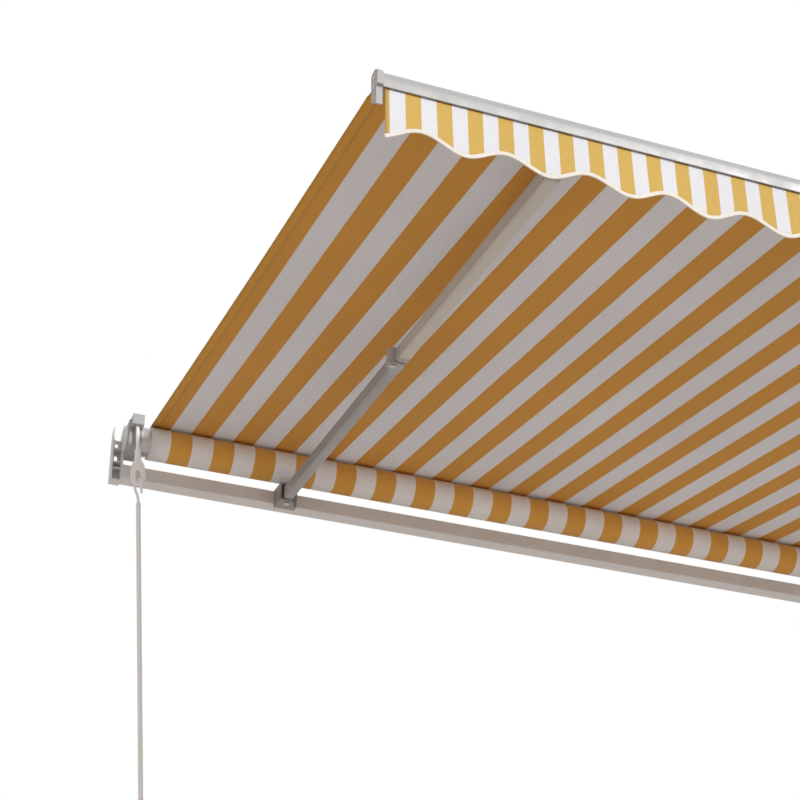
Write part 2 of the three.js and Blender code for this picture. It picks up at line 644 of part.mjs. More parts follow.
function crankRod() {
  const turn = (x, z, from) => Array.from({ length: BEND_STEPS + 1 }, (_, i) => {
    const angle = from + i / BEND_STEPS * Math.PI / 2;
    return [x + BEND_RADIUS * Math.cos(angle), 0, z + BEND_RADIUS * Math.sin(angle)];
  });
  const first = turn(BEND_RADIUS, ROD_BEND + BEND_RADIUS, Math.PI);
  const second = turn(ROD_OFFSET - BEND_RADIUS, ROD_BEND - BEND_RADIUS, 0).reverse();
  const points = [[0, 0, ROD_TOP], [0, 0, ROD_TOP - 2 * SOCKET_DEPTH], [0, 0, (ROD_TOP + ROD_BEND) / 2],
    [0, 0, ROD_BEND + BEND_RADIUS + BEND_STRAIGHT], ...first, ...second,
    [ROD_OFFSET, 0, ROD_BEND - BEND_RADIUS - BEND_STRAIGHT], [ROD_OFFSET, 0, ROD_BOTTOM]];
  const bottom = ROD_TOP - SOCKET_DEPTH - OVERLAP;
  const socket = rodZ(0, 0, HOOK_WIRE + BORE_GAP, bottom, ROD_TOP + OVERLAP, SMALL);
  return cut(sweep(points, ROD_RADIUS, ROD_STEPS, ROD_SIDES), socket);
}

function crankGrip([low, high], x) {
  const inner = ROD_RADIUS + BORE_GAP;
  const edge = GRIP_RADIUS - GRIP_WAIST;
  const profile = [[inner, low], [edge, low], [GRIP_RADIUS, low + GRIP_LIP], [edge, (low + high) / 2],
    [GRIP_RADIUS, high - GRIP_LIP], [edge, high], [inner, high], [inner, low]];
  const geometry = new THREE.LatheGeometry(profile.map(([r, z]) => new THREE.Vector2(r, z)), ROUND);
  return geometry.rotateX(Math.PI / 2).translate(x, 0, 0);
}

function crankCap() {
  const top = ROD_BOTTOM + CAP_REACH;
  const shell = rodZ(ROD_OFFSET, 0, ROD_RADIUS + CAP_WALL, ROD_BOTTOM - CAP_LIP, top);
  return cut(shell, rodZ(ROD_OFFSET, 0, ROD_RADIUS + BORE_GAP, ROD_BOTTOM - GAP, top + OVERLAP));
}

// Arms, drawn in the arm plane: x across, -y along the extended arm, z square to the plane.

const REACH = Math.hypot(FRONT_PIVOT_Y - SHOULDER_Y, FRONT_PIVOT_Z - SHOULDER_Z);
const PITCH = Math.atan2(SHOULDER_Z - FRONT_PIVOT_Z, SHOULDER_Y - FRONT_PIVOT_Y);
const ELBOW_Y = -REACH / 2;

function armProfile(width, height, x, y0, y1) {
  return alongY(hollowRect(width, height, ARM_CORNER, ARM_WALL), y0, y1, 3).translate(x, 0, 0);
}

function armEnd(width, height, x, y0, y1) {
  return alongY(roundedRect(width, height, ARM_CORNER), y0, y1, 3).translate(x, 0, 0);
}

function armSpigot(width, height, x, y0, y1) {
  const slack = 2 * ARM_WALL + 2 * GAP;
  const section = roundedRect(width - slack, height - slack, ARM_CORNER - ARM_WALL);
  return alongY(section, y0, y1, 3).translate(x, 0, 0);
}

function rearArm() {
  return armProfile(REAR_WIDTH, REAR_HEIGHT, 0, ELBOW_Y + ARM_SETBACK, -ARM_SETBACK);
}

function shoulderKnuckle() {
  const half = KNUCKLE_HEIGHT / 2;
  const barrel = rodZ(0, 0, KNUCKLE_RADIUS, -half, half, FINE);
  const neck = armEnd(REAR_WIDTH, REAR_HEIGHT, 0, -ARM_SETBACK + GAP, -BARREL_ROOT);
  const spigot = armSpigot(REAR_WIDTH, REAR_HEIGHT, 0, -ARM_SETBACK - SPIGOT, -ARM_SETBACK + OVERLAP);
  const bore = rodZ(0, 0, PIN_RADIUS + BORE_GAP, -half - OVERLAP, half + OVERLAP);
  return cut(join(barrel, neck, spigot), bore);
}

function elbowFork() {
  const half = REAR_HEIGHT / 2;
  const start = ELBOW_Y + ARM_SETBACK - GAP;
  const block = armEnd(REAR_WIDTH, REAR_HEIGHT, 0, ELBOW_Y + ELBOW_BLOCK, start);
  const spigot = armSpigot(REAR_WIDTH, REAR_HEIGHT, 0, start - OVERLAP, start + SPIGOT);
  const plate = (z0, z1) => {
    const shape = new THREE.Shape();
    shape.moveTo(REAR_WIDTH / 2, ELBOW_Y + ELBOW_PLATE);
    shape.lineTo(-REAR_WIDTH / 2, ELBOW_Y + ELBOW_PLATE);
    shape.absarc(-ELBOW_OFFSET, ELBOW_Y, KNUCKLE_RADIUS, Math.PI * 0.9, Math.PI * 1.5);
    shape.lineTo(0, ELBOW_Y - KNUCKLE_RADIUS);
    shape.quadraticCurveTo(REAR_WIDTH / 2, ELBOW_Y - KNUCKLE_RADIUS, REAR_WIDTH / 2, ELBOW_Y);
    return alongZ(shape, z0, z1, 5);
  };
  const inner = ELBOW_TONGUE / 2 + GAP;
  const bore = rodZ(-ELBOW_OFFSET, ELBOW_Y, PIN_RADIUS + BORE_GAP, -half - OVERLAP, half + OVERLAP);
  return cut(join(block, spigot, plate(inner, half), plate(-half, -inner)), bore);
}

// A headed pin through plates whose outer faces lie at plus and minus half.
function forkPin(half) {
  const under = half + GAP;
  const head = under + PIN_HEAD_THICK;
  const profile = [[0, -head], [PIN_HEAD, -head], [PIN_HEAD, -under], [PIN_RADIUS, -under],
    [PIN_RADIUS, under], [PIN_HEAD, under], [PIN_HEAD, head], [0, head]];
  const points = profile.map(([r, z]) => new THREE.Vector2(r, z));
  return new THREE.LatheGeometry(points, ROUND).rotateX(Math.PI / 2);
}

// The forearm's pieces have the elbow axis as their origin.

function forearm() {
  return armProfile(FORE_WIDTH, FORE_HEIGHT, ELBOW_OFFSET, ELBOW_Y + ARM_SETBACK, -ARM_SETBACK);
}

function elbowKnuckle() {
  const tongue = ELBOW_TONGUE / 2;
  const barrel = rodZ(0, 0, KNUCKLE_RADIUS, -tongue, tongue, FINE);
  const neck = box(0, ELBOW_OFFSET + REAR_WIDTH / 2, -ELBOW_NECK, -BARREL_ROOT, -tongue, tongue);
  const shoulder = armEnd(FORE_WIDTH, FORE_HEIGHT, ELBOW_OFFSET, -ARM_SETBACK + GAP, -ELBOW_SHOULDER);
  const spigot = armSpigot(FORE_WIDTH, FORE_HEIGHT, ELBOW_OFFSET, -ARM_SETBACK - SPIGOT,
    -ARM_SETBACK + OVERLAP);
  return cut(join(barrel, neck, shoulder, spigot),
    rodZ(0, 0, PIN_RADIUS + BORE_GAP, -tongue - OVERLAP, tongue + OVERLAP));
}

function frontKnuckle(gap) {
  const half = KNUCKLE_HEIGHT / 2;
  const barrel = rodZ(ELBOW_OFFSET, ELBOW_Y, KNUCKLE_RADIUS, -half, half, FINE);
  const neck = armEnd(REAR_WIDTH, FORE_HEIGHT, ELBOW_OFFSET, ELBOW_Y + BARREL_ROOT,
    ELBOW_Y + ARM_SETBACK - GAP);
  const spigot = armSpigot(FORE_WIDTH, FORE_HEIGHT, ELBOW_OFFSET, ELBOW_Y + ARM_SETBACK - OVERLAP,
    ELBOW_Y + ARM_SETBACK + SPIGOT);
  return cut(join(barrel, neck, spigot),
    rodZ(ELBOW_OFFSET, ELBOW_Y, PIN_RADIUS + gap, -half - OVERLAP, half + OVERLAP));
}

function armSpring() {
  const inner = SPRING_RADIUS - SPRING_WIRE;
  const valley = SPRING_RADIUS - SPRING_GROOVE;
  const pitch = SPRING_LENGTH / SPRING_RIDGES;
  const ridges = Array.from({ length: SPRING_RIDGES }, (_, i) => [
    [valley, i * pitch], [SPRING_RADIUS, (i + 0.5) * pitch]]).flat();
  const profile = [[inner, 0], ...ridges, [valley, SPRING_LENGTH], [inner, SPRING_LENGTH], [inner, 0]];
  const drop = FORE_HEIGHT / 2 - ARM_WALL - SPRING_RADIUS - GAP;
  return new THREE.LatheGeometry(profile.map(([r, y]) => new THREE.Vector2(r, y)), SMALL)
    .translate(ELBOW_OFFSET, -SPRING_START - SPRING_LENGTH, -drop);
}

function shoulderBracket() {
  const inner = KNUCKLE_HEIGHT / 2 + GAP;
  const outer = inner + FORK_PLATE;
  const back = BAR_FRONT - SHOULDER_Y - GAP;
  const left = -KNUCKLE_RADIUS - SHOULDER_ROOT - CHEEK;
  const right = SHOULDER_RIGHT;
  const plate = (z0, z1) => {
    const shape = new THREE.Shape();
    shape.moveTo(left, back + FORK_ROOT);
    shape.lineTo(left, -KNUCKLE_RADIUS);
    shape.quadraticCurveTo(left, -SHOULDER_ROUND, 0, -SHOULDER_ROUND);
    shape.absarc(0, 0, SHOULDER_ROUND, -Math.PI / 2, 0);
    shape.lineTo(right, back - SHOULDER_PLATE);
    shape.lineTo(right, back + FORK_ROOT);
    return alongZ(shape, z0, z1, 5);
  };
  const cheek = box(left, left + CHEEK, -KNUCKLE_RADIUS, back + FORK_ROOT, -outer, outer);
  const root = box(left, right, KNUCKLE_RADIUS + SHOULDER_ROOT, back + FORK_ROOT, -outer, outer);
  const tilted = join(plate(inner, outer), plate(-outer, -inner), cheek, root).rotateX(PITCH);
  const wallPlate = box(left, right, back - SHOULDER_PLATE, back, -BAR_SIZE / 2 - SHOULDER_Z + OVERLAP,
    BAR_SIZE / 2 - SHOULDER_Z - OVERLAP);
  const behind = box(-BEYOND, BEYOND, back, back + BEYOND, -BEYOND, BEYOND);
  const bore = rodZ(0, 0, PIN_RADIUS + GAP, -outer - OVERLAP, outer + OVERLAP).rotateX(PITCH);
  return cut(join(tilted, wallPlate), behind, bore);
}

function frontConnector() {
  const inner = KNUCKLE_HEIGHT / 2 + GAP;
  const outer = inner + FORK_PLATE;
  const toBar = FRONT_BACK - FRONT_PIVOT_Y + GAP;
  const half = CONNECTOR_HALF;
  const plate = (z0, z1) => {
    const shape = new THREE.Shape();
    shape.moveTo(half, toBar - FORK_ROOT);
    shape.lineTo(half, 0);
    shape.absarc(0, 0, half, 0, Math.PI);
    shape.lineTo(-half, toBar - FORK_ROOT);
    return alongZ(shape, z0, z1, 5);
  };
  const tilted = join(plate(inner, outer), plate(-outer, -inner)).rotateX(PITCH);
  const low = -outer - CONNECTOR_SKIRT;
  const high = canopyHeightAt(FRONT_BACK) - FRONT_PIVOT_Z - CONNECTOR_CLEAR;
  const wide = CONNECTOR_FLANGE_HALF;
  const flange = box(-wide, wide, toBar, toBar + CONNECTOR_FLANGE, low, high);
  const underBar = FRONT_BOTTOM - FRONT_PIVOT_Z - GAP;
  const pad = box(-wide, wide, toBar - CONNECTOR_PAD, toBar + OVERLAP, underBar - FORK_PLATE, underBar);
  const beyond = box(-BEYOND, BEYOND, toBar - BEYOND, toBar, -BEYOND, BEYOND);
  const bore = rodZ(0, 0, PIN_RADIUS + GAP, -outer - OVERLAP, outer + OVERLAP).rotateX(PITCH);
  return join(cut(join(tilted, flange), beyond, bore), pad);
}

// Front bar with its end caps

function frontSection(inset) {
  const back = FRONT_BACK - inset;
  const front = FRONT_BACK - FRONT_DEPTH + inset;
  const low = FRONT_BOTTOM + inset;
  const high = FRONT_BOTTOM + FRONT_HEIGHT - inset;
  const shape = new THREE.Shape();
  shape.moveTo(back, low);
  shape.lineTo(back, high);
  shape.lineTo(front + FRONT_CROWN, high);
  shape.quadraticCurveTo(front, high - FRONT_FACE_TOP, front, low + FRONT_FACE_LOW);
  shape.lineTo(front + FRONT_TOE, low);
  return shape;
}

function canopyHeightAt(y) {
  const touchY = ROLLER_Y - ROLL_RADIUS * Math.sin(CANOPY_SLOPE);
  const touchZ = ROLLER_Z + ROLL_RADIUS * Math.cos(CANOPY_SLOPE);
  return touchZ + (y - touchY) * Math.tan(CANOPY_SLOPE);
}

function frontBar() {
  const shell = alongX(frontSection(0), FRONT_START, FRONT_END, 5);
  const hollow = alongX(frontSection(FRONT_WALL), FRONT_START - OVERLAP, FRONT_END + OVERLAP, 5);
  const seat = box(FRONT_START, FRONT_END, VALANCE_Y - SEAT_HALF, VALANCE_Y + SEAT_HALF, FRONT_BOTTOM,
    FRONT_BOTTOM + VALANCE_SLOT_DEPTH + SEAT_WALL);
  const slitZ = canopyHeightAt(FRONT_BACK);
  const canopySeat = box(FRONT_START, FRONT_END, FRONT_BACK - CANOPY_SLIT_DEPTH - SEAT_WALL, FRONT_BACK,
    slitZ - CANOPY_SLIT - SEAT_WALL, slitZ + CANOPY_SLIT + SEAT_WALL);
  const toe = FRONT_BACK - FRONT_DEPTH + FRONT_TOE;
  const lip = box(FRONT_START, FRONT_END, toe, toe + LIP_THICK, FRONT_BOTTOM - LIP_DROP,
    FRONT_BOTTOM + OVERLAP);
  const chamber = rodX(VALANCE_Y, VALANCE_ROD_Z, VALANCE_ROD_RADIUS + BORE_GAP, FRONT_START - OVERLAP,
    FRONT_END + OVERLAP, SMALL);
  const mouth = box(FRONT_START - OVERLAP, FRONT_END + OVERLAP, VALANCE_Y - VALANCE_THICK / 2 - GAP,
    VALANCE_Y + VALANCE_THICK / 2 + GAP, FRONT_BOTTOM - OVERLAP, FRONT_BOTTOM + VALANCE_SLOT_DEPTH / 2);
  const slit = box(FRONT_START - OVERLAP, FRONT_END + OVERLAP, FRONT_BACK - CANOPY_SLIT_DEPTH,
    FRONT_BACK + OVERLAP, slitZ - CANOPY_SLIT, slitZ + CANOPY_SLIT);
  return cut(join(cut(shell, hollow), seat, canopySeat, lip), chamber, mouth, slit);
}

function frontCap() {
  const back = FRONT_BACK + CAP_PROUD;
  const front = FRONT_BACK - FRONT_DEPTH - CAP_PROUD;
  const top = FRONT_BOTTOM + FRONT_HEIGHT;
  const low = FRONT_BOTTOM - FRONT_CAP_DROP;
  const shape = new THREE.Shape();
  shape.moveTo(back, low + CAP_RAKE);
  shape.lineTo(back, top);
  shape.quadraticCurveTo(back, top + FRONT_CAP_RIM, back - FRONT_CAP_RIM, top + FRONT_CAP_RIM);
  shape.quadraticCurveTo(front, top + FRONT_CAP_RIM, front, top - FRONT_FACE_LOW);
  shape.lineTo(front, FRONT_BOTTOM - CAP_PROUD);
  shape.lineTo(front + CAP_STEP, FRONT_BOTTOM - CAP_PROUD);
  shape.lineTo(front + CAP_STEP, low);
  const x0 = FRONT_START - FRONT_CAP;
  const plate = alongX(shape, x0, FRONT_START - GAP, 5);
  const spigotTop = FRONT_BOTTOM + FRONT_HEIGHT - FRONT_WALL - GAP;
  const spigot = box(FRONT_START - OVERLAP, FRONT_START + FRONT_CAP,
    FRONT_BACK - FRONT_DEPTH + CAP_SPIGOT_INSET, FRONT_BACK - CANOPY_SLIT_DEPTH - SEAT_WALL - OVERLAP,
    spigotTop - CAP_SPIGOT, spigotTop);
  return join(plate, spigot);
}

// Soft parts

function canopy() {
  const n = [-Math.sin(CANOPY_SLOPE), Math.cos(CANOPY_SLOPE)];
  const base = [ROLLER_Y + (ROLL_RADIUS + GAP) * n[0], ROLLER_Z + (ROLL_RADIUS + GAP) * n[1]];
  const lift = (p) => [p[0] + CANOPY_THICK * n[0], p[1] + CANOPY_THICK * n[1]];
  const sheet = (end, x0, x1) => {
    const far = [end, base[1] - (base[0] - end) * Math.tan(CANOPY_SLOPE)];
    return alongX(outline([base, far, lift(far), lift(base)].reverse()), x0, x1);
  };
  const toCaps = sheet(FRONT_BACK + CAP_PROUD + CANOPY_THICK, CANOPY_START, CANOPY_END);
  const intoBar = sheet(FRONT_BACK - CANOPY_SLIT_DEPTH + 1, FRONT_START + 1, FRONT_END - 1);
  return join(toCaps, intoBar);
}

function valanceEdge() {
  const points = [];
  const middle = (VALANCE_TROUGH + VALANCE_CREST) / 2;
  const swing = (VALANCE_CREST - VALANCE_TROUGH) / 2;
  const count = Math.ceil((VALANCE_END - VALANCE_START) / WAVE_LENGTH * WAVE_STEPS);
  for (let i = 0; i <= count; i += 1) {
    const x = VALANCE_START + (VALANCE_END - VALANCE_START) * i / count;
    points.push([x, middle + swing * Math.cos((x - WAVE_START) / WAVE_LENGTH * Math.PI * 2)]);
  }
  return points;
}

function valance() {
  const shape = outline([...valanceEdge(), [VALANCE_END, VALANCE_TOP], [VALANCE_START, VALANCE_TOP]]);
  return alongY(shape, VALANCE_Y - VALANCE_THICK / 2, VALANCE_Y + VALANCE_THICK / 2);
}

function valanceRod() {
  return rodX(VALANCE_Y, VALANCE_ROD_Z, VALANCE_ROD_RADIUS, FRONT_START + OVERLAP, FRONT_END - OVERLAP,
    SMALL);
}

// Assembly

function armPieces(side) {
  const hand = (geometry) => (side === 'left' ? geometry : mirror(geometry));
  const arm = new THREE.Group();
  arm.position.set(side === 'left' ? SHOULDER_X : BRACKET_SPAN - SHOULDER_X, SHOULDER_Y, SHOULDER_Z);
  arm.rotation.x = PITCH;
  const outerFork = KNUCKLE_HEIGHT / 2 + GAP + FORK_PLATE;
  arm.add(
    piece(`${side}_shoulder_pin`, hand(forkPin(outerFork)), STEEL),
    piece(`${side}_shoulder_knuckle`, hand(shoulderKnuckle()), CAST),
    piece(`${side}_rear_arm`, hand(rearArm()), ALUMINIUM),
    piece(`${side}_elbow_fork`, hand(elbowFork()), CAST),
    piece(`${side}_elbow_pin`, hand(forkPin(REAR_HEIGHT / 2).translate(-ELBOW_OFFSET, ELBOW_Y, 0)), STEEL),
  );
  const fore = new THREE.Group();
  fore.position.set(side === 'left' ? -ELBOW_OFFSET : ELBOW_OFFSET, ELBOW_Y, 0);
  fore.add(
    piece(`${side}_elbow_knuckle`, hand(elbowKnuckle()), CAST),
    piece(`${side}_forearm`, hand(forearm()), ALUMINIUM),
    piece(`${side}_arm_spring`, hand(armSpring()), STEEL),
    piece(`${side}_front_knuckle`, hand(frontKnuckle(side === 'left' ? BORE_GAP : OPEN_PIVOT_GAP)), CAST),
  );
  arm.add(fore);
  const bracket = piece(`${side}_shoulder_bracket`, hand(shoulderBracket()), CAST);
  bracket.position.copy(arm.position);
  const tip = new THREE.Group();
  tip.position.set(arm.position.x, FRONT_PIVOT_Y, FRONT_PIVOT_Z);
  const pin = piece(`${side}_front_pin`, hand(forkPin(outerFork)), STEEL);
  pin.rotation.x = PITCH;
  tip.add(piece(`${side}_front_connector`, hand(frontConnector()), CAST), pin);
  return [arm, bracket, tip];
}

function crankPieces() {
  const line = new THREE.Group();
  line.position.set(WORM_X, WORM_Y, WORM_BLOCK_LOW);
  line.rotation.y = -WORM_LEAN;
  line.add(
    piece('worm_shaft', wormShaft(), STEEL),
    piece('crank_eye', crankEye(), ENAMEL),
    piece('crank_hook', crankHook(), STEEL),
    piece('crank_rod', crankRod(), ENAMEL),
    piece('crank_upper_grip', crankGrip(GRIP_UPPER, 0), PLASTIC),
    piece('crank_lower_grip', crankGrip(GRIP_LOWER, ROD_OFFSET), PLASTIC),
    piece('crank_end_cap', crankCap(), PLASTIC),
  );
  return line;
}

const awning = new THREE.Group();
awning.add(
  piece('torsion_bar', torsionBar(), ENAMEL),
  piece('left_bar_plug', barPlug(), PLASTIC),
  piece('right_bar_plug', otherEnd(barPlug()), PLASTIC),
  piece('left_wall_bracket', wallBracket(), CAST),
  piece('right_wall_bracket', otherEnd(wallBracket()), CAST),
  piece('left_bar_screw_outer', barScrew(BAR_SCREWS_X[0]), STEEL),
  piece('left_bar_screw_inner', barScrew(BAR_SCREWS_X[1]), STEEL),
  piece('right_bar_screw_outer', otherEnd(barScrew(BAR_SCREWS_X[0])), STEEL),
  piece('right_bar_screw_inner', otherEnd(barScrew(BAR_SCREWS_X[1])), STEEL),
  piece('gear_housing', gearHousing(), CAST),
  piece('gear_cover', gearCover(), CAST),
  piece('cross_gear', crossGear(), GEAR_METAL),
  piece('roller_tube', rollerTube(), STEEL),
  piece('rolled_fabric', rolledFabric(), YELLOW),
  piece('left_roller_plug', rollerPlug(GEAR_START - BRACKET_WALL), CAST),
  piece('right_roller_plug', otherEnd(rollerPlug(BRACKET_RIGHT - BRACKET_WALL)), CAST),
  piece('roller_gear', rollerGear(), GEAR_METAL),
  piece('front_bar', frontBar(), ALUMINIUM),
  piece('left_front_cap', frontCap(), PLASTIC),
  piece('right_front_cap', otherEnd(frontCap()), PLASTIC),
  piece('canopy', canopy(), YELLOW),
  piece('valance', valance(), YELLOW),
  piece('valance_rod', valanceRod(), PLASTIC),
  ...armPieces('left'),
  ...armPieces('right'),
  crankPieces(),
);

export default awning;
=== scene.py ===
"""Looks of a retractable folding-arm awning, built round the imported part.

Metres, +Z up, -Y out over the terrace.
"""
import math

import bpy
from mathutils import Matrix, Vector, noise


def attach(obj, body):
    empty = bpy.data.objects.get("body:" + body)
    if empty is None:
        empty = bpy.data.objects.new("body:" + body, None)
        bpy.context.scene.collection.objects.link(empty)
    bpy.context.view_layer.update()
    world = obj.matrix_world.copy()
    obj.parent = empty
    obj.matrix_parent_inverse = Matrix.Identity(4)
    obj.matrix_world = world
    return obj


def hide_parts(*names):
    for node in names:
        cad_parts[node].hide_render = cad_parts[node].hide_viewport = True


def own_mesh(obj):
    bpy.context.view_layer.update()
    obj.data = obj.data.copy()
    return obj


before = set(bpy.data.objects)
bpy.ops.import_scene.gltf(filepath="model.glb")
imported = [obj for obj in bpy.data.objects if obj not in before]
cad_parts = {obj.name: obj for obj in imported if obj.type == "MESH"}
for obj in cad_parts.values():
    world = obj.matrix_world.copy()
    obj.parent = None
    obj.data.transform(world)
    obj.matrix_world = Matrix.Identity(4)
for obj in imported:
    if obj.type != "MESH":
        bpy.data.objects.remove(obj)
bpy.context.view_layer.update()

# Sizes shared with the part
SPAN = 2.897
ROLLER = Vector((0, -0.057, 0.0884))
ROLL_RADIUS = 0.0442
STRIPE = 0.0565
CANOPY_START, CANOPY_END = 0.0696, 2.8274
CANOPY_SLOPE = math.radians(11.85)
CANOPY_FRONT = -1.816
STRIPE_START = CANOPY_START - 0.0053
VALANCE_STRIPE = 0.02867
VALANCE_STRIPE_START = 0.1212
VALANCE_START, VALANCE_END = 0.0843, 2.8127
VALANCE_Y = -1.833
VALANCE_TOP = -0.2417
VALANCE_CREST, VALANCE_TROUGH = -0.3287, -0.357
WAVE_LENGTH, WAVE_START = 0.157, 0.149
SHOULDER = Vector((0.439, -0.092, -0.012))
FRONT_PIVOT = Vector((0.439, -1.788, -0.263))
ARM_DROP = FRONT_PIVOT - SHOULDER
REACH = ARM_DROP.length
PITCH = math.atan2(-ARM_DROP.z, -ARM_DROP.y)

# Camera, as fitted to the photograph
CAMERA_AT = Vector((-0.7018, -4.0004, -2.4098))
CAMERA_RIGHT = Vector((0.9384, -0.3456, -0.0067))
CAMERA_DOWN = Vector((0.1591, 0.4489, -0.8793))
CAMERA_FORWARD = Vector((0.3069, 0.8240, 0.4762))
CAMERA_LENS = 80.74
CAMERA_SHIFT = 0.2

# Stage
FLOOR_Z = -2.75
FLOOR_HALF = 30
SUN_STRENGTH = 2.2
WORLD_LOW = 0.22
WORLD_HIGH = 0.66
WORLD_BRIGHT_SIDE = (0.34, -0.30, 0.89)
WORLD_TINT = (1.0, 0.975, 0.955)
FLOOR_COLOUR = (0.74, 0.69, 0.66)

# Fine detail of cloth and profiles
STITCH = 0.0055
THREAD_HALF = 0.0005
THREAD_PITCH = 0.0011
STRIPE_FUZZ = 0.0009
SEAM_INSET = 0.018
SEAMS = [
    CANOPY_START + SEAM_INSET,
    CANOPY_START + 17 * STRIPE,
    CANOPY_START + 33 * STRIPE,
    CANOPY_END - SEAM_INSET,
]
CLOTH_SHOWS_THROUGH = 0.35
GROOVE_HEIGHT = 0.009
GROOVE_HALF = 0.0009
# Reach of the painted shade in corners
CORNER_SHADE_REACH = 0.02
EDGE_BEVEL = 0.0006
WELD_GAP = 0.00002
SHARP_ANGLE = math.radians(32)

# Sheets of cloth, as modelled
CANOPY_THICK = 0.0011
CANOPY_COLUMNS, CANOPY_ROWS = 98, 60
HEM_OUTER, HEM_INNER = 0.0005, 0.021
HEM_THICK = 0.0007
HEM_BELOW = 0.0012
HEM_START = 0.006
HEM_SHORTER = 0.020
ROLL_TURNS, ROLL_PITCH = 3, 0.00155
ROLL_THICK = 0.0013
ROLL_COLUMNS, ROLL_STEPS = 60, 56
VALANCE_THICK = 0.0012
VALANCE_COLUMNS, VALANCE_ROWS = 348, 10
BINDING_STEPS = 520
BINDING_HALF_WIDTH, BINDING_HALF_THICK = 0.0036, 0.0012

# Colours, linear
CANOPY_YELLOW = (0.675, 0.366, 0.048)
# Canopy yellow made brighter for the hem, to offset the shade on the doubled cloth under the canopy:
# painted light.
HEM_YELLOW_PAINTED_LIGHT = (0.85, 0.45, 0.042)
CANOPY_WHITE = (0.753, 0.741, 0.749)
ROLL_YELLOW = (0.75, 0.372, 0.060)
ROLL_WHITE = (0.86, 0.85, 0.84)
VALANCE_YELLOW = (0.673, 0.435, 0.096)
VALANCE_WHITE = (0.80, 0.81, 0.845)
THREAD = (0.74, 0.66, 0.50)
CREAM = (0.80, 0.76, 0.68)
ENAMEL = (0.68, 0.665, 0.65)
CRANK_ENAMEL = (0.92, 0.92, 0.915)
REAR_ARM = (0.336, 0.32, 0.322)
FOREARM = (0.55, 0.51, 0.445)
FRONT_PROFILE = (0.395, 0.395, 0.395)
CASTING = (0.40, 0.385, 0.37)
# The casting colour darkened for the shoulder bracket, to stand in for the shade on its side: painted
# shade.
SHOULDER_CASTING_SHADED = (0.28, 0.27, 0.255)
BRACKET = (0.70, 0.69, 0.68)
GEAR_CASE = (0.37, 0.368, 0.365)
# Grey plastic, darkened further to match the shade on the end cap's front: partly painted shade.
PLASTIC_AND_SHADE = (0.43, 0.42, 0.40)
ZINC = (0.55, 0.55, 0.56)
GREASED = (0.20, 0.19, 0.18)


# Camera, lights and floor

def add_camera():
    data = bpy.data.cameras.new("camera")
    data.sensor_width = 36
    data.lens = CAMERA_LENS
    data.shift_y = CAMERA_SHIFT
    camera = bpy.data.objects.new("camera", data)
    turn = Matrix((CAMERA_RIGHT, -CAMERA_DOWN, -CAMERA_FORWARD)).transposed()
    camera.matrix_world = Matrix.Translation(CAMERA_AT) @ turn.to_4x4()
    bpy.context.scene.collection.objects.link(camera)
    bpy.context.scene.camera = camera


def add_sun():
    data = bpy.data.lights.new("sun", "SUN")
    data.energy = SUN_STRENGTH
    data.angle = math.radians(12)
    sun = bpy.data.objects.new("sun", data)
    sun.rotation_euler = Vector((-0.42, 0.80, -0.42)).to_track_quat("-Z", "Y").to_euler()
    bpy.context.scene.collection.objects.link(sun)


def strongest(tree, first, second):
    node = tree.nodes.new("ShaderNodeMath")
    node.operation = "MAXIMUM"
    tree.links.new(first, node.inputs[0])
    tree.links.new(second, node.inputs[1])
    return node.outputs[0]


def seen_directly(tree):
    """One for rays that show the world itself, nought for rays that only carry its light."""
    path = tree.nodes.new("ShaderNodeLightPath")
    clear = strongest(tree, path.outputs["Is Camera Ray"], path.outputs["Is Transmission Ray"])
    return strongest(tree, clear, path.outputs["Is Glossy Ray"])


def soft_light(tree):
    """Plain studio light, brighter from one side."""
    place = tree.nodes.new("ShaderNodeTexCoord")
    facing = tree.nodes.new("ShaderNodeVectorMath")
    facing.operation = "DOT_PRODUCT"
    facing.inputs[1].default_value = WORLD_BRIGHT_SIDE
    tree.links.new(place.outputs["Generated"], facing.inputs[0])
    level = tree.nodes.new("ShaderNodeMapRange")
    level.inputs["From Min"].default_value = -1
    level.inputs["From Max"].default_value = 1
    level.inputs["To Min"].default_value = WORLD_LOW
    level.inputs["To Max"].default_value = WORLD_HIGH
    tree.links.new(facing.outputs["Value"], level.inputs["Value"])
    light = tree.nodes.new("ShaderNodeBackground")
    light.inputs["Color"].default_value = (*WORLD_TINT, 1)
    tree.links.new(level.outputs[0], light.inputs["Strength"])
    return light.outputs[0]


def add_world():
    world = bpy.data.worlds.new("world")
    world.use_nodes = True
    bpy.context.scene.world = world
    tree = world.node_tree
    tree.nodes.clear()
    white = tree.nodes.new("ShaderNodeBackground")
    white.inputs["Color"].default_value = (1, 1, 1, 1)
    mix = tree.nodes.new("ShaderNodeMixShader")
    tree.links.new(seen_directly(tree), mix.inputs[0])
    tree.links.new(soft_light(tree), mix.inputs[1])
    tree.links.new(white.outputs[0], mix.inputs[2])
    output = tree.nodes.new("ShaderNodeOutputWorld")
    tree.links.new(mix.outputs[0], output.inputs["Surface"])


def add_floor():
    material = bpy.data.materials.new("floor")
    material.use_nodes = True
    shader = material.node_tree.nodes["Principled BSDF"]
    shader.inputs["Base Color"].default_value = (*FLOOR_COLOUR, 1)
    shader.inputs["Roughness"].default_value = 0.9
    mesh = bpy.data.meshes.new("floor")
    h = FLOOR_HALF
    corners = [(-h, -h, FLOOR_Z), (h, -h, FLOOR_Z), (h, h, FLOOR_Z), (-h, h, FLOOR_Z)]
    mesh.from_pydata(corners, [], [(0, 1, 2, 3)])
    mesh.materials.append(material)
    floor = bpy.data.objects.new("floor", mesh)
    bpy.context.scene.collection.objects.link(floor)


# Materials

